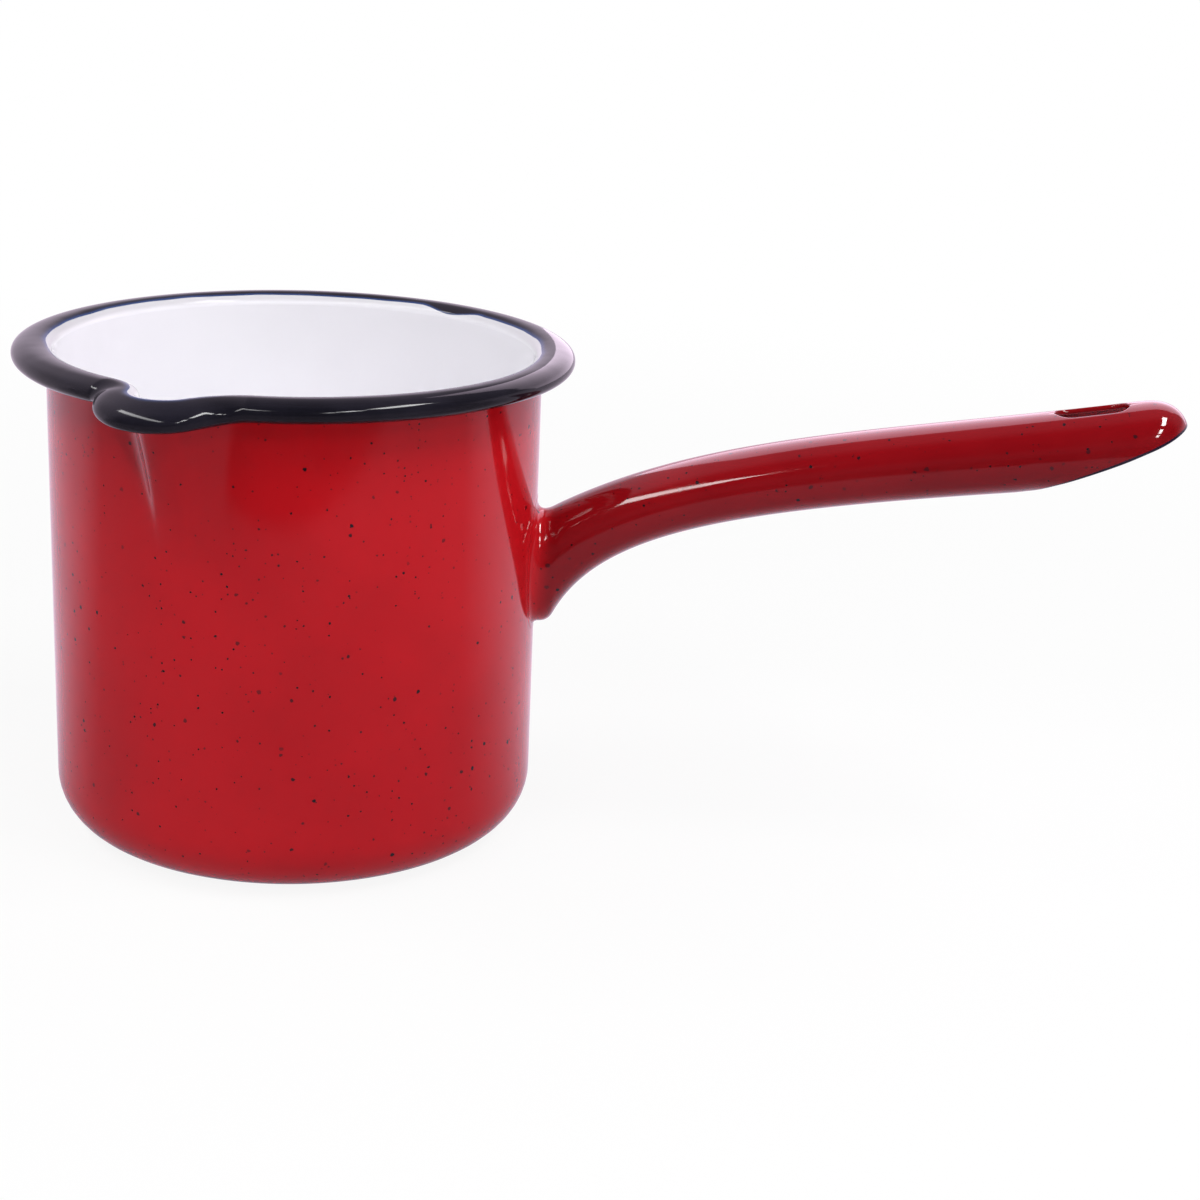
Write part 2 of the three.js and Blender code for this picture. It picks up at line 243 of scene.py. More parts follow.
# the drawn wall: flat base, corner and straight side by length along the section, with the lip pressed out
def wallTree():
    tree, size, mesh, azimuth, along = startTree("pressedWall", pot)
    baseRadius = calc(tree, "SUBTRACT", size["Radius"], size["Corner"])
    cornerRun = calc(tree, "MULTIPLY", size["Corner"], quarterTurn)
    sideRun = calc(tree, "SUBTRACT", size["Height"], size["Corner"])
    wholeRun = calc(tree, "ADD", calc(tree, "ADD", baseRadius, cornerRun), sideRun)
    run = calc(tree, "MULTIPLY", along, wholeRun)
    pastBase = calc(tree, "MAXIMUM", calc(tree, "SUBTRACT", run, baseRadius), 0.0)
    lean = calc(tree, "MINIMUM", calc(tree, "DIVIDE", pastBase, size["Corner"]), quarterTurn)
    pastCorner = calc(tree, "MAXIMUM", calc(tree, "SUBTRACT", pastBase, cornerRun), 0.0)
    onBase = calc(tree, "MINIMUM", run, baseRadius)
    radius = calc(tree, "MULTIPLY_ADD", size["Corner"], calc(tree, "SINE", lean), onBase)
    lift = calc(tree, "SUBTRACT", 1.0, calc(tree, "COSINE", lean))
    height = calc(tree, "MULTIPLY_ADD", size["Corner"], lift, pastCorner)
    press = lipPress(tree, size, azimuth, height)
    point = xyz(tree, calc(tree, "ADD", radius, press), 0.0, height)
    return endTree(tree, size, mesh, turnedTo(tree, point, azimuth), size["Depth"])


rim = {
    "corner": 2.2,  # corner power of the roll's section, where 2 is an ellipse
    "dentScale": 60.0,
    "dentStart": (-0.9, 0.2),  # places across the roll between which dents set in: inside it is flush
    "turnStep": 0.002,  # steps over which the slope of the wall's upper edge is taken
    "riseStep": 0.02 * mm,
}


# the rolled rim: an oval that stands square to the wall's upper edge, flush with the lining inside
def rimTree():
    tree, size, mesh, azimuth, along = startTree("rolledRim", pot)
    press = lipPress(tree, size, azimuth, size["Height"])
    ahead = lipPress(tree, size, calc(tree, "ADD", azimuth, rim["turnStep"]), size["Height"])
    behind = lipPress(tree, size, calc(tree, "SUBTRACT", azimuth, rim["turnStep"]), size["Height"])
    below = lipPress(tree, size, azimuth, calc(tree, "SUBTRACT", size["Height"], rim["riseStep"]))
    radius = calc(tree, "ADD", size["Radius"], press)
    run = calc(tree, "MULTIPLY", radius, 2 * rim["turnStep"])
    turnSlope = calc(tree, "DIVIDE", calc(tree, "SUBTRACT", ahead, behind), run)
    riseSlope = calc(tree, "DIVIDE", calc(tree, "SUBTRACT", press, below), rim["riseStep"])
    backTurn = calc(tree, "MULTIPLY", turnSlope, -1.0)
    backRise = calc(tree, "MULTIPLY", riseSlope, -1.0)
    normal = vectorCalc(tree, "NORMALIZE", xyz(tree, 1.0, backTurn, backRise))
    sideways = vectorCalc(tree, "NORMALIZE", xyz(tree, turnSlope, 1.0, 0.0))
    up = vectorCalc(tree, "CROSS_PRODUCT", normal, sideways)
    turn = calc(tree, "MULTIPLY", along, fullTurn)
    cosine = signedPower(tree, calc(tree, "COSINE", turn), 2 / rim["corner"])
    sine = signedPower(tree, calc(tree, "SINE", turn), 2 / rim["corner"])
    halfWidth = calc(tree, "MULTIPLY", calc(tree, "ADD", size["Rim width"], size["Lining"]), 0.5)
    halfDepth = calc(tree, "MULTIPLY", size["Rim depth"], 0.5)
    inside = calc(tree, "ADD", size["Wall"], size["Lining"])
    centre = calc(tree, "SUBTRACT", halfWidth, inside)
    across = calc(tree, "MULTIPLY_ADD", halfWidth, cosine, centre)
    rise = calc(tree, "MULTIPLY", halfDepth, sine)
    point = xyz(tree, radius, 0.0, size["Height"])
    point = vectorCalc(tree, "ADD", point, vectorCalc(tree, "SCALE", normal, across))
    point = vectorCalc(tree, "ADD", point, vectorCalc(tree, "SCALE", up, rise))
    position = addNode(tree, "GeometryNodeInputPosition").outputs[0]
    wander = sway(tree, position, rim["dentScale"], detail=1.0)
    outside = ranged(tree, cosine, *rim["dentStart"])
    dents = calc(tree, "MULTIPLY", calc(tree, "MULTIPLY", size["Rim dents"], wander), outside)
    marks = (("rollAcross", cosine), ("rollRise", sine))
    return endTree(tree, size, mesh, turnedTo(tree, point, azimuth), dents, marks)


# runs a tree with its sizes and keeps the result as a plain mesh
def grow(name, tree, sizes, material, columns, rows, depth=0.0):
    holder = bpy.data.objects.new(name + "Grow", bpy.data.meshes.new(name + "Grow"))
    scene.collection.objects.link(holder)
    modifier = holder.modifiers.new("grow", "NODES")
    modifier.node_group = tree
    values = {label: value * mm for label, value in sizes.items()}
    values.update({"Depth": depth * mm, "Columns": columns, "Rows": rows, "Material": material})
    for item in tree.interface.items_tree:
        if item.in_out == "INPUT":
            modifier[item.identifier] = values[item.name]
    holder.update_tag()
    depsgraph = bpy.context.evaluated_depsgraph_get()
    mesh = bpy.data.meshes.new_from_object(holder.evaluated_get(depsgraph), depsgraph=depsgraph)
    bpy.data.objects.remove(holder)
    mesh.name = name
    piece = bpy.data.objects.new(name, mesh)
    scene.collection.objects.link(piece)
    return piece


# what every coat shares, with the noise values between which a smear or a cloud sets in
glaze = {
    "ior": 1.5,
    "smearScale": 90.0,
    "smearStart": (0.35, 0.65),
    "cloudStart": (0.38, 0.66),
    "rippleDepth": 0.2 * mm,
}


# enamel: a glassy coat with slow clouds of tone, a faintly rippled skin and, on the red, burnt specks
def startMaterial(name, finish):
    material = bpy.data.materials.new(name)
    material.use_nodes = True
    tree = material.node_tree
    shader = tree.nodes["Principled BSDF"]
    shader.inputs["IOR"].default_value = glaze["ior"]
    shader.inputs["Specular IOR Level"].default_value = finish["gloss"]
    place = addNode(tree, "ShaderNodeTexCoord").outputs["Object"]
    smear = noise(tree, place, glaze["smearScale"], detail=3.0)[0]
    roughness = ranged(tree, smear, *glaze["smearStart"], *finish["roughness"])
    feed(tree, shader.inputs["Roughness"], roughness)
    bump = addNode(tree, "ShaderNodeBump")
    feed(tree, bump.inputs["Height"], noise(tree, place, finish["rippleScale"], detail=1.0)[0])
    feed(tree, bump.inputs["Strength"], finish["ripple"])
    feed(tree, bump.inputs["Distance"], glaze["rippleDepth"])
    feed(tree, shader.inputs["Normal"], bump.outputs[0])
    return material, tree, shader, place


def blendColour(tree, share, first, second):
    node = addNode(tree, "ShaderNodeMix", data_type="RGBA")
    feed(tree, node.inputs["Factor"], share)
    feed(tree, node.inputs["A"], first)
    feed(tree, node.inputs["B"], second)
    return node.outputs["Result"]


def mark(tree, name):
    return addNode(tree, "ShaderNodeAttribute", attribute_name=name).outputs["Fac"]


def clouded(tree, place, finish):
    clouds = noise(tree, place, finish["cloudScale"], detail=3.0)[0]
    return blendColour(tree, ranged(tree, clouds, *glaze["cloudStart"]), finish["tone"], finish["shade"])


speckle = {
    "driftScale": 32.0,
    "driftStart": (0.36, 0.62),  # noise values between which a drift sets in
    "raggedSize": 0.6 * mm,
    "raggedReach": 1.1,  # how far a speck's edge wanders, in radii
    "softEdge": 0.25,  # in radii
    "faintest": 0.45,
    "faintShare": 0.6,  # share of the specks that are less than fully dark
}


# specks of uneven size and depth, one at most in each cell of a random pattern, gathered in loose drifts
def specks(tree, place, pattern):
    cell = pattern["cell"]
    radius = pattern["radius"]
    drift = noise(tree, place, speckle["driftScale"], detail=1.0)[0]
    missing = ranged(tree, drift, *speckle["driftStart"], *pattern["missing"])
    wander = noise(tree, place, 1 / speckle["raggedSize"], detail=2.0)["Color"]
    wander = vectorCalc(tree, "SUBTRACT", wander, (noiseMiddle, noiseMiddle, noiseMiddle))
    wander = vectorCalc(tree, "SCALE", wander, speckle["raggedReach"] * radius)
    cells = addNode(tree, "ShaderNodeTexVoronoi")
    feed(tree, cells.inputs["Vector"], vectorCalc(tree, "ADD", place, wander))
    feed(tree, cells.inputs["Scale"], 1 / cell)
    chance = addNode(tree, "ShaderNodeSeparateColor")
    feed(tree, chance.inputs[0], cells.outputs["Color"])
    size = ranged(tree, chance.outputs[0], missing, 1.0, 0.0, radius / cell)
    inside = calc(tree, "SUBTRACT", size, cells.outputs["Distance"])
    depth = ranged(tree, chance.outputs[1], 0.0, speckle["faintShare"], speckle["faintest"], 1.0)
    return calc(tree, "MULTIPLY", ranged(tree, inside, 0.0, speckle["softEdge"] * radius / cell), depth)


# the red coat, where missing is the share of cells without a speck, between drifts and in them
redEnamel = {
    "tone": (0.42, 0.0055, 0.0095, 1),
    "shade": (0.36, 0.004, 0.0075, 1),
    "speck": (0.012, 0.005, 0.008, 1),
    "groundCoat": (0.010, 0.006, 0.018, 1),  # bare dark coat along the oblique cut
    "groundStart": (0.54, 0.66),  # nearness to the cut between which it sets in
    "cloudScale": 22.0,
    "gloss": 0.32,
    "roughness": (0.05, 0.10),
    "ripple": 0.05,
    "rippleScale": 150.0,
    "largeSpecks": {"cell": 2.1 * mm, "radius": 0.50 * mm, "missing": (0.90, 0.55)},
    "smallSpecks": {"cell": 1.2 * mm, "radius": 0.28 * mm, "missing": (0.62, 0.25)},
}
# the handle's red is a darker copy of the pot's, painted shade for the weaker light on the handle, and goes
# over into the pot's on the foot
shadedHandleEnamel = dict(redEnamel, tone=(0.20, 0.003, 0.0055, 1), shade=(0.16, 0.002, 0.004, 1), gloss=0.42)
shadedHandleEnamel["largeSpecks"] = {"cell": 2.3 * mm, "radius": 0.58 * mm, "missing": (0.80, 0.45)}
footFade = (50.5 * mm, 54.5 * mm)  # measured from the pot's axis


def makeRed(name, finish):
    material, tree, shader, place = startMaterial(name, finish)
    # on the foot the handle's darker red, which is painted shade, fades into the pot's red
    fromAxis = length(tree, vectorCalc(tree, "MULTIPLY", place, (1, 1, 0)))
    onFoot = ranged(tree, fromAxis, *footFade, 1.0, 0.0)
    colour = blendColour(tree, onFoot, clouded(tree, place, finish), clouded(tree, place, redEnamel))
    large = specks(tree, place, finish["largeSpecks"])
    small = specks(tree, place, finish["smallSpecks"])
    colour = blendColour(tree, calc(tree, "MAXIMUM", large, small), colour, finish["speck"])
    edge = ranged(tree, mark(tree, "cutNear"), *finish["groundStart"])
    colour = blendColour(tree, edge, colour, finish["groundCoat"])
    feed(tree, shader.inputs["Base Color"], colour)
    return material


whiteEnamel = {
    "tone": (0.85, 0.84, 0.875, 1),
    "shade": (0.83, 0.82, 0.855, 1),
    "cloudScale": 30.0,
    "gloss": 0.4,
    "roughness": (0.08, 0.14),
    "ripple": 0.05,
    "rippleScale": 110.0,
}


def makeWhite():
    material, tree, shader, place = startMaterial("whiteEnamel", whiteEnamel)
    feed(tree, shader.inputs["Base Color"], clouded(tree, place, whiteEnamel))
    return material


# the rim's black coat ends in a wavy line inside, with one run, and goes blue where it thins over the white;
# the bare white below it is darkened towards the crest as painted shade; heights are on the roll, where 1 is
# its crest
blackEnamel = {
    "tone": (0.006, 0.0055, 0.009, 1),
    "shade": (0.011, 0.010, 0.016, 1),
    "thin": (0.026, 0.055, 0.160, 1),
    "thinReach": 0.17,  # height above the line over which the blue fades out
    "shadedWhite": (0.52, 0.51, 0.54, 1),  # the white coat where the black ends, darkened as painted shade where the roll turns up to the light
    "whiteShadeRise": (0.05, 0.60),  # heights between which that painted shade sets in
    "cloudScale": 60.0,
    "gloss": 0.2,
    "roughness": (0.06, 0.11),
    "ripple": 0.30,
    "rippleScale": 140.0,
    "level": 0.80,  # height of the line
    "lineFade": 0.02,  # half of the height over which the line goes from black to white
    "wave": 0.34,
    "waveScale": 45.0,
    "runAzimuth": math.radians(55.0),
    "runHalfWidth": math.radians(10.0),
    "runDrop": 0.42,
}


def makeBlack():
    material, tree, shader, place = startMaterial("blackEnamel", blackEnamel)
    spot = split(tree, place)
    azimuth = calc(tree, "ARCTAN2", spot["Y"], spot["X"])
    fromRun = calc(tree, "ABSOLUTE", calc(tree, "SUBTRACT", azimuth, blackEnamel["runAzimuth"]))
    drop = ranged(tree, fromRun, 0.0, blackEnamel["runHalfWidth"], blackEnamel["runDrop"], 0.0)
    wave = sway(tree, place, blackEnamel["waveScale"], detail=2.0)
    level = calc(tree, "MULTIPLY_ADD", wave, blackEnamel["wave"], blackEnamel["level"])
    level = calc(tree, "SUBTRACT", level, drop)
    rise = mark(tree, "rollRise")
    above = calc(tree, "SUBTRACT", rise, level)
    isInside = calc(tree, "LESS_THAN", mark(tree, "rollAcross"), 0.0)
    fade = blackEnamel["lineFade"]
    bare = calc(tree, "MULTIPLY", ranged(tree, above, -fade, fade, 1.0, 0.0), isInside)
    thin = calc(tree, "MULTIPLY", ranged(tree, above, 0.0, blackEnamel["thinReach"], 1.0, 0.0), isInside)
    colour = blendColour(tree, thin, clouded(tree, place, blackEnamel), blackEnamel["thin"])
    # painted shade: the bare white darkens with height on the roll, where more light falls from above
    whiteShadeShare = ranged(tree, rise, *blackEnamel["whiteShadeRise"])
    shadedWhite = blendColour(tree, whiteShadeShare, whiteEnamel["tone"], blackEnamel["shadedWhite"])
    colour = blendColour(tree, bare, colour, shadedWhite)
    feed(tree, shader.inputs["Base Color"], colour)
    return material


red = makeRed("redEnamel", redEnamel)
shadedHandleRed = makeRed("shadedHandleEnamel", shadedHandleEnamel)
black = makeBlack()
white = makeWhite()
print("materials made")


def thicken(piece, thickness):
    solid = piece.modifiers.new("sheet", "SOLIDIFY")
    solid.thickness = thickness * mm
    solid.offset = -1


def keep(piece, node):
    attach(piece, "root")
    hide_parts(node)


wall = wallTree()
potBody = grow("potBody", wall, pot, red, columns=481, rows=101)
thicken(potBody, pot["Wall"])
keep(potBody, "pot_body")
innerLining = grow("innerLining", wall, pot, white, columns=361, rows=110, depth=pot["Wall"])
thicken(innerLining, pot["Lining"])
keep(innerLining, "inner_lining")
rolledRim = grow("rolledRim", rimTree(), pot, black, columns=721, rows=61)
keep(rolledRim, "rolled_rim")
print("pot made:", len(potBody.data.polygons), len(rolledRim.data.polygons), "faces")


# the handle in millimetres: one rolled sheet between a top line and a bottom line, seen from the side
handle = {
    "width": 17.5,
    "sheet": 1.1,
    "length": 132.5,  # wall to nose
    "corner": 2.3,  # corner power of the section, where 2 is an ellipse
    "footTop": 69.0,
    "footBottom": 44.7,
    "stand": 3.2,  # where the tube starts, off the wall
    "flare": 3.6,  # how far the tube's end spreads on the wall above
    "lowFlare": 0.33,  # share of the flare that is left below
    "sideFlare": 0.6,  # and at the sides
    "footEase": (0.03, 0.10),  # shares of the tube over which it bends off its foot, below and above
    "easeRun": 0.5,  # share of the tube over which that shift of its rows fades out
    "coatReach": 2.0,  # measured back from the oblique cut
    "nose": 9.0,
    "endHeight": 17.0,
    "endTop": 97.0,
    "endSlope": 0.14,
    "topBow": ((0.27, 0.63), (0.56, 0.67)),  # control points as shares of the line's run and rise
    "bottomBow": ((0.08, 0.635), (0.33, 0.76)),
    "topPace": 1.75,  # power that keeps a section's top abreast of its bottom
    "slotLength": 15.0,
    "slotWidth": 6.8,
    "slotFromNose": 20.0,
    "trimLength": 36.5,  # the oblique open end
    "trimTop": 2.5,
    "trimBow": (0.7, 0.56),
    "seam": 0.8,  # gap between the rolled edges underneath
    "seamRun": 0.1,  # share of the tube over which the seam opens
    "columns": 28,
    "footRows": 10,
    "bendRows": 8,
    "tubeRows": 84,
    "noseRows": 16,
    "slotRows": 9,
    "rowGap": 0.2,  # least gap between the slot's rows and the tube's, as a share of the tube's step
    "mergeReach": 0.004,
}
noseX = pot["Radius"] + handle["length"]
endX = noseX - handle["nose"]
standX = pot["Radius"] + handle["stand"]
endBottom = handle["endTop"] - handle["endHeight"]
slotX = noseX - handle["slotFromNose"]
ovalPower = 2 / handle["corner"]
topRun, topRise = handle["topBow"][0]
footSlope = topRise * (handle["endTop"] - handle["footTop"]) / (topRun * (endX - standX))
halvings = 48


# where a rising test passes zero
def solve(test, low, high):
    for _ in range(halvings):
        middle = (low + high) / 2
        if test(middle) < 0:
            low = middle
        else:
            high = middle
    return high


def bowedLine(low, high, bow, share):
    ways = ((0, 0), bow[0], bow[1], (1, 1))
    rest = 1 - share
    weights = (rest ** 3, 3 * share * rest ** 2, 3 * share ** 2 * rest, share ** 3)
    run = sum(weight * way[0] for weight, way in zip(weights, ways))
    rise = sum(weight * way[1] for weight, way in zip(weights, ways))
    return Vector((standX + run * (endX - standX), low + rise * (high - low)))


# half of the section: how far aside and up it is, at a turn from its top
def oval(turn):
    across = abs(math.sin(turn)) ** ovalPower
    rise = math.copysign(abs(math.cos(turn)) ** ovalPower, math.cos(turn))
    return across, rise


def tubeTop(share):
    return bowedLine(handle["footTop"], handle["endTop"], handle["topBow"], share ** handle["topPace"])


def tubePoint(share, turn):
    top = tubeTop(share)
    bottom = bowedLine(handle["footBottom"], endBottom, handle["bottomBow"], share)
    across, rise = oval(turn)
    spot = (top + bottom) / 2 + (top - bottom) / 2 * rise
    return Vector((spot.x, handle["width"] / 2 * across, spot.y))


# share of the tube at which it has bent off its foot
def footEase(turn):
    below, above = handle["footEase"]
    return below + (above - below) * (1 + math.cos(turn)) / 2


# a ring gives the point at a turn from the top, here on the tube itself
def tubeRing(share):
    early = max(1 - share / handle["easeRun"], 0) ** 2

    def point(turn):
        return tubePoint(share + footEase(turn) * early, turn)
    return point


# the round from the foot into the tube
def bendRing(share):
    def point(turn):
        foot = footRing(1)(turn)
        corner = tubePoint(0, turn)
        tube = tubePoint(footEase(turn), turn)
        return foot.lerp(corner, share).lerp(corner.lerp(tube, share), share)
    return point


# the rounded end
def noseRing(share):
    shrink = math.cos(share * quarterTurn) ** ovalPower
    reach = handle["nose"] * math.sin(share * quarterTurn) ** ovalPower
    middle = handle["endTop"] - handle["endHeight"] / 2 + reach * handle["endSlope"]

    def point(turn):
        across, rise = oval(turn)
        height = middle + handle["endHeight"] / 2 * shrink * rise
        return Vector((endX + reach, handle["width"] / 2 * shrink * across, height))
    return point


# the foot's hollow round, from the wall to the tube's line carried on to the wall
def footRing(share):
    rest = 1 - share

    def point(turn):
        across, rise = oval(turn)
        endFlare = 1.0 if rise > 0 else handle["lowFlare"]
        flare = handle["flare"] * (handle["sideFlare"] + (endFlare - handle["sideFlare"]) * rise ** 2)
        slope = footSlope * max(rise, 0) ** 2
        start = tubePoint(0, turn)
        out = math.sqrt(pot["Radius"] ** 2 - start.y ** 2)
        meet = Vector((out, start.y, start.z - slope * (start.x - out)))
        tube = meet + min(flare, start.x - out) * Vector((1, 0, slope))
        aside = start.y + flare * across
        onWall = Vector((math.sqrt(pot["Radius"] ** 2 - aside ** 2), aside, meet.z + flare * rise))
        return rest ** 2 * onWall + 2 * rest * share * meet + share ** 2 * tube
    return point


# distance to the slot's edge seen from above, negative inside the slot
def slotGap(point):
    straight = (handle["slotLength"] - handle["slotWidth"]) / 2
    beyond = max(abs(point.x - slotX) - straight, 0)
    return math.hypot(beyond, point.y) - handle["slotWidth"] / 2


# height of the oblique cut, a bowed line from under the handle up to its nose
def trimHeight(x):
    startX = noseX - handle["trimLength"]
    startZ = endBottom - (endX - startX) * handle["endSlope"]
    stopX = noseX + handle["sheet"]
    stopZ = handle["endTop"] - handle["trimTop"]
    if x <= startX:
        return -math.inf

    def bowed(share, bow):
        return 2 * share * (1 - share) * bow + share ** 2
    share = solve(lambda s: startX + bowed(s, handle["trimBow"][0]) * (stopX - startX) - x, 0, 1)
    return startZ + bowed(share, handle["trimBow"][1]) * (stopZ - startZ)


# one row of the half sheet, from the top or the slot's edge to the seam or the oblique cut
def sheetRow(ring, seam):
    first = 0.0
    if slotGap(ring(0.0)) < 0:
        first = solve(lambda turn: slotGap(ring(turn)), 0.0, quarterTurn)
    last = math.pi
    if seam > 0:
        last = solve(lambda turn: seam / 2 - ring(turn).y, quarterTurn, math.pi)
    lowest = ring(last)
    isCut = lowest.z < trimHeight(lowest.x)
    if isCut:
        last = solve(lambda turn: trimHeight(ring(turn).x) - ring(turn).z, first, last)
    count = handle["columns"]
    return [ring(first + (last - first) * column / count) for column in range(count + 1)], isCut


# where the tube has rows: at even steps, and closer round the two ends of the slot
def tubeShares():
    slotHalf = handle["slotLength"] / 2
    shares = []
    for row in range(handle["slotRows"] + 1):
        inset = handle["slotWidth"] / 2 * (1 - math.cos(row / handle["slotRows"] * quarterTurn))
        for x in (slotX - slotHalf + inset, slotX + slotHalf - inset):
            shares.append(solve(lambda share: tubeTop(share).x - x, 0, 1))
    for row in range(handle["tubeRows"] + 1):
        share = row / handle["tubeRows"]
        if all(abs(share - other) > handle["rowGap"] / handle["tubeRows"] for other in shares):
            shares.append(share)
    return sorted(shares)


def sheetRows():
    rows = [sheetRow(footRing(row / handle["footRows"]), 0.0) for row in range(handle["footRows"])]
    rows += [sheetRow(bendRing(row / handle["bendRows"]), 0.0) for row in range(handle["bendRows"])]
    for share in tubeShares():
        rows.append(sheetRow(tubeRing(share), handle["seam"] * min(share / handle["seamRun"], 1)))
    # the nose ends where the oblique cut comes out at its top
    tip = solve(lambda share: trimHeight(noseRing(share)(0).x) - noseRing(share)(0).z, 0, 1)
    for row in range(1, handle["noseRows"] + 1):
        share = tip * math.sin(row / handle["noseRows"] * quarterTurn)
        rows.append(sheetRow(noseRing(share), handle["seam"]))
    return rows


# how near each point of a row is to the cut at its end: 1 on the cut, 0 beyond the coat's reach
def cutNearness(points):
    nearness = [1.0]
    for outer, inner in zip(points[::-1], points[-2::-1]):
        step = (outer - inner).length / handle["coatReach"]
        nearness.append(max(nearness[-1] - step, 0.0))
    return nearness[::-1]


# both halves of the sheet, joined along the top
def makeHandle():
    sheet = bmesh.new()
    cutNear = sheet.verts.layers.float.new("cutNear")
    rows = sheetRows()
    for side in (1, -1):
        lines = []
        for points, isCut in rows:
            line = [sheet.verts.new((p.x * mm, side * p.y * mm, p.z * mm)) for p in points]
            if isCut:
                for corner, nearness in zip(line, cutNearness(points)):
                    corner[cutNear] = nearness
            lines.append(line)
        for near, far in zip(lines, lines[1:]):
            for column in range(handle["columns"]):
                corners = [near[column], far[column], far[column + 1], near[column + 1]]
                sheet.faces.new(corners if side > 0 else corners[::-1])
    bmesh.ops.remove_doubles(sheet, verts=sheet.verts, dist=handle["mergeReach"] * mm)
    for face in sheet.faces:
        face.smooth = True
    mesh = bpy.data.meshes.new("handleShell")
    sheet.to_mesh(mesh)
    sheet.free()
    mesh.materials.append(shadedHandleRed)
    piece = bpy.data.objects.new("handleShell", mesh)
    scene.collection.objects.link(piece)
    thicken(piece, handle["sheet"])
    rounded = piece.modifiers.new("rounded", "SUBSURF")
    rounded.levels = 1
    rounded.render_levels = 1
    return piece


handleShell = makeHandle()
keep(handleShell, "handle_shell")
print("handle made:", len(handleShell.data.polygons), "faces")

# the weld: a low bead laid round the foot, along the edge of its flare
weld = {
    "Radius": pot["Radius"],
    "Foot width": handle["width"],
    "Foot top": handle["footTop"],
    "Foot bottom": handle["footBottom"],
    "Stand": handle["stand"],
    "Flare": handle["flare"],
    "Bead width": 1.2,
    "Bead height": 0.12,
}


def weldTree():
    tree, size, mesh, turn, along = startTree("footWeld", weld)
    across = signedPower(tree, calc(tree, "SINE", turn), ovalPower)
    rise = signedPower(tree, calc(tree, "COSINE", turn), ovalPower)
    riseSquare = calc(tree, "MULTIPLY", rise, rise)
    bend = calc(tree, "MULTIPLY", along, -fullTurn)
    isAbove = calc(tree, "GREATER_THAN", rise, 0.0)
    lowMore = handle["lowFlare"] - handle["sideFlare"]
    endMore = calc(tree, "MULTIPLY_ADD", isAbove, 1 - handle["lowFlare"], lowMore)
    share = calc(tree, "MULTIPLY_ADD", riseSquare, endMore, handle["sideFlare"])
    flare = calc(tree, "MULTIPLY", size["Flare"], share)
    halfBead = calc(tree, "MULTIPLY", size["Bead width"], 0.5)
    spread = calc(tree, "MULTIPLY_ADD", halfBead, calc(tree, "COSINE", bend), flare)
    halfLift = calc(tree, "MULTIPLY", size["Bead height"], 0.5)
    lift = calc(tree, "MULTIPLY", halfLift, calc(tree, "SINE", bend))
    aside = calc(tree, "MULTIPLY", calc(tree, "MULTIPLY_ADD", size["Foot width"], 0.5, spread), across)
    outline = arcRise(tree, calc(tree, "ADD", size["Radius"], lift), aside)
    middle = calc(tree, "MULTIPLY", calc(tree, "ADD", size["Foot top"], size["Foot bottom"]), 0.5)
    footHeight = calc(tree, "SUBTRACT", size["Foot top"], size["Foot bottom"])
    halfHeight = calc(tree, "MULTIPLY_ADD", footHeight, 0.5, spread)
    height = calc(tree, "MULTIPLY_ADD", halfHeight, rise, middle)
    slope = calc(tree, "MULTIPLY", calc(tree, "MULTIPLY", riseSquare, isAbove), footSlope)
    sag = calc(tree, "MULTIPLY", slope, size["Stand"])
    point = xyz(tree, outline, aside, calc(tree, "SUBTRACT", height, sag))
    return endTree(tree, size, mesh, point, size["Depth"])


footWeld = grow("footWeld", weldTree(), weld, red, columns=241, rows=25)
keep(footWeld, "foot_weld")
print("weld made:", len(footWeld.data.polygons), "faces")

# camera at the photograph's place, in metres, with the roll in degrees and the lens in millimetres
view = {
    "place": (0.06532, -0.46475, 0.19997),
    "target": (0.0639, 0.0, 0.0493),
    "roll": 2.57,
    "lens": 69.66,
    "sensor": 36,
}


def makeCamera():
    camera = bpy.data.objects.new("camera", bpy.data.cameras.new("camera"))
    scene.collection.objects.link(camera)
    camera.data.lens = view["lens"]
    camera.data.sensor_width = view["sensor"]
    place = Vector(view["place"])
    look = (Vector(view["target"]) - place).to_track_quat("-Z", "Y").to_matrix().to_4x4()
    roll = Matrix.Rotation(math.radians(view["roll"]), 4, "Z")
    camera.matrix_world = Matrix.Translation(place) @ look @ roll
    scene.camera = camera


makeCamera()
print("camera placed")

# lights in metres and watts: ceiling panels that run forward from over the pot, one long at the left
# and a row of short ones at the right, and a lit card behind the handle
panelRows = {
    "left": {
        "count": 1,
        "start": (-0.44, -0.53, 1.0),
        "step": (0.38, -1.0, 0),  # also the way that a panel points
        "size": (0.16, 1.7),
        "power": 12.4,
    },
    "right": {
        "count": 3,
        "start": (0.58, -0.30, 1.0),
        "step": (0.13, -0.95, 0),
        "size": (0.18, 0.6),
        "power": 10.2,
    },
}
card = {"place": (0.175, 0.11, 0.18), "size": (0.25, 0.16), "power": 0.223, "colour": (1.0, 0.82, 1.0)}


def makeLamp(name, lamp, place, turn, colour):
    data = bpy.data.lights.new(name, "AREA")
    data.shape = "RECTANGLE"
    data.size, data.size_y = lamp["size"]
    data.energy = lamp["power"]
    data.color = colour
    lampObject = bpy.data.objects.new(name, data)
    scene.collection.objects.link(lampObject)
    lampObject.visible_camera = False
    lampObject.location = place
    lampObject.rotation_euler = turn


def makeLights():
    for rowName, row in panelRows.items():
        lean = math.atan2(row["step"][0], -row["step"][1])
        for panel in range(row["count"]):
            spot = Vector(row["start"]) + panel * Vector(row["step"])
            makeLamp(rowName + str(panel), row, spot, (0, 0, lean), plainWhite[:3])
    makeLamp("backCard", card, card["place"], (-quarterTurn, 0, 0), card["colour"])


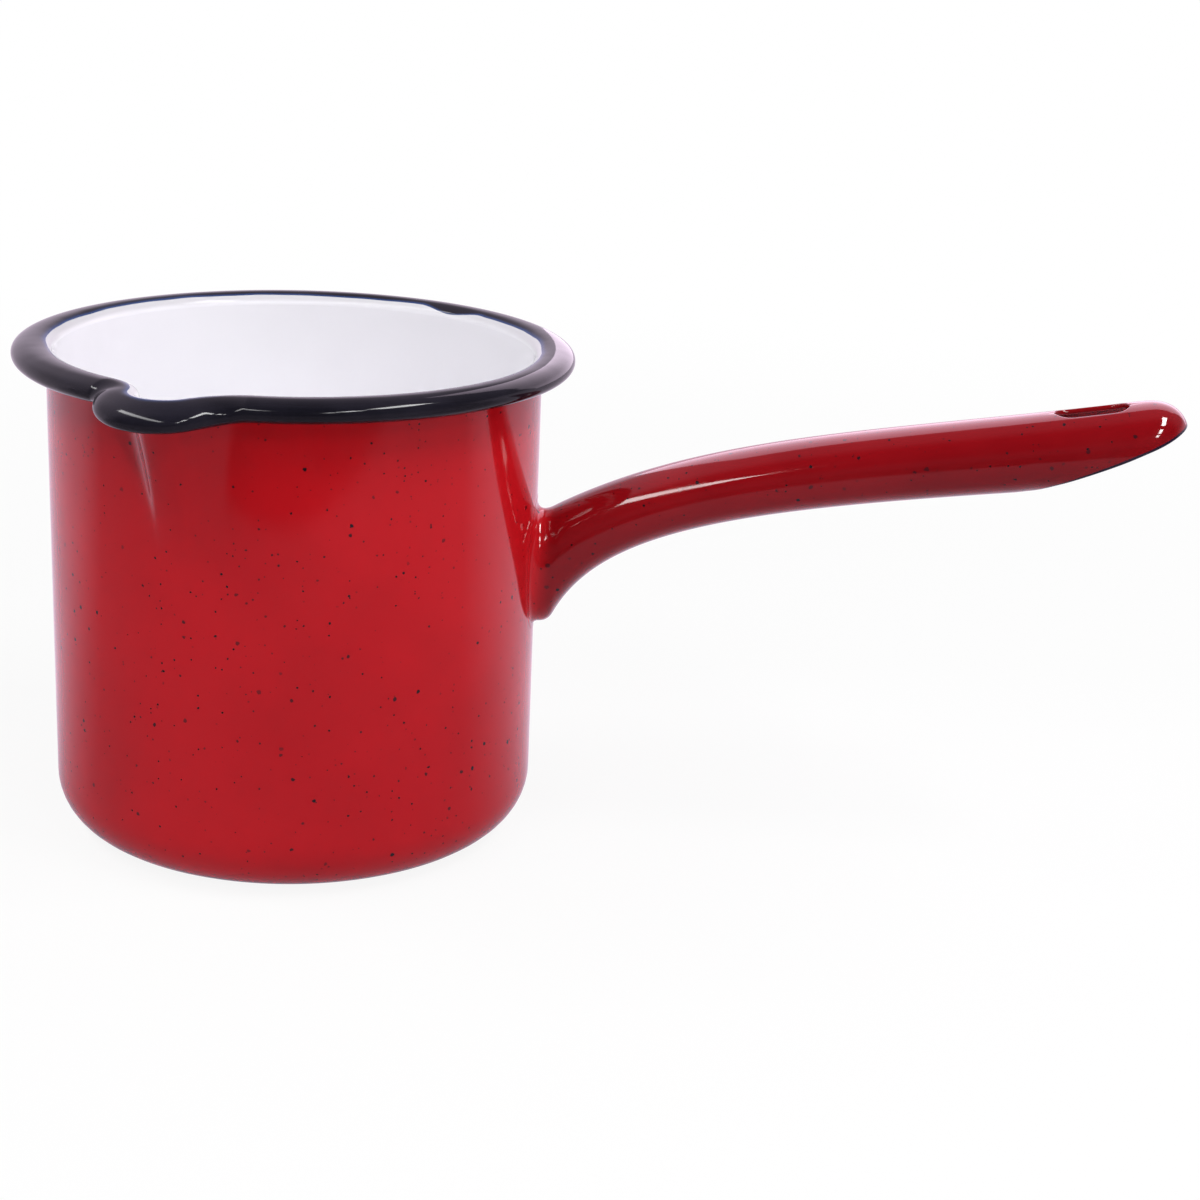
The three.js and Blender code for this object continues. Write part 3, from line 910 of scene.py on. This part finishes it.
# a pale room, darker in front and overhead, with the parts of a direction between which that sets in
room = {
    "front": 0.12,
    "frontFade": (-0.45, 0.12),  # along Y
    "top": 0.28,
    "topFade": (0.15, 0.42),  # along Z
    "leftTop": 0.85,
    "leftFade": (-0.6, -0.1),  # along X
    "tint": (0.97, 0.82, 1.0, 1),  # of what the enamel mirrors
}


# rays that show the stage itself, rays that mirror it, and the stage's colour for both
def stageRays(tree):
    rays = addNode(tree, "ShaderNodeLightPath").outputs
    shown = calc(tree, "MAXIMUM", rays["Is Camera Ray"], rays["Is Transmission Ray"])
    mirrored = rays["Is Glossy Ray"]
    return shown, mirrored, blendColour(tree, mirrored, plainWhite, room["tint"])


def makeWorld():
    world = bpy.data.worlds.new("studio")
    scene.world = world
    world.use_nodes = True
    tree = world.node_tree
    shader = tree.nodes["Background"]
    shown, _, colour = stageRays(tree)
    direction = split(tree, addNode(tree, "ShaderNodeTexCoord").outputs["Generated"])
    backward = ranged(tree, direction["Y"], *room["frontFade"], room["front"], 1.0)
    top = ranged(tree, direction["X"], *room["leftFade"], room["leftTop"], room["top"])
    level = ranged(tree, direction["Z"], *room["topFade"], 1.0, top)
    strength = calc(tree, "MAXIMUM", shown, calc(tree, "MULTIPLY", backward, level))
    feed(tree, shader.inputs["Color"], colour)
    feed(tree, shader.inputs["Strength"], strength)


# the floor shows white, with a soft shadow near the pot, and the enamel mirrors it as a table
# with a front edge
floorLook = {
    "reach": 3.0,
    "tone": 0.60,
    "roughness": 0.9,
    "glow": 0.9,  # share of plain white near the pot, where the rest takes the shadow
    "glowFade": (0.15, 0.6),  # distances between which that share grows to 1
    "edge": (-0.33, -0.29),  # along Y
    "edgeLevels": (0.06, 0.45),  # mirrored brightness before the edge and past it
    "backFade": (-0.12, 0.08),  # places along Y between which it grows to 1
}


def makeFloor():
    reach = floorLook["reach"]
    corners = [(-reach, -reach, 0), (reach, -reach, 0), (reach, reach, 0), (-reach, reach, 0)]
    mesh = bpy.data.meshes.new("floor")
    mesh.from_pydata(corners, [], [(0, 1, 2, 3)])
    floor = bpy.data.objects.new("floor", mesh)
    scene.collection.objects.link(floor)
    material = bpy.data.materials.new("paleFloor")
    material.use_nodes = True
    tree = material.node_tree
    shader = tree.nodes["Principled BSDF"]
    tone = floorLook["tone"]
    shader.inputs["Base Color"].default_value = (tone, tone, tone, 1)
    shader.inputs["Roughness"].default_value = floorLook["roughness"]
    shader.inputs["Specular IOR Level"].default_value = 0.0
    shown, mirrored, colour = stageRays(tree)
    place = addNode(tree, "ShaderNodeTexCoord").outputs["Object"]
    share = ranged(tree, length(tree, place), *floorLook["glowFade"], floorLook["glow"], 1.0)
    forward = split(tree, place)["Y"]
    onTable = ranged(tree, forward, *floorLook["edge"], *floorLook["edgeLevels"])
    behind = ranged(tree, forward, *floorLook["backFade"])
    strength = calc(tree, "MAXIMUM", shown, calc(tree, "MAXIMUM", onTable, behind))
    glow = addNode(tree, "ShaderNodeEmission")
    feed(tree, glow.inputs["Color"], colour)
    feed(tree, glow.inputs["Strength"], strength)
    mix = addNode(tree, "ShaderNodeMixShader")
    feed(tree, mix.inputs[0], calc(tree, "MAXIMUM", calc(tree, "MULTIPLY", shown, share), mirrored))
    feed(tree, mix.inputs[1], shader.outputs[0])
    feed(tree, mix.inputs[2], glow.outputs[0])
    feed(tree, tree.nodes["Material Output"].inputs["Surface"], mix.outputs[0])
    mesh.materials.append(material)


makeLights()
makeWorld()
makeFloor()
print("studio made")
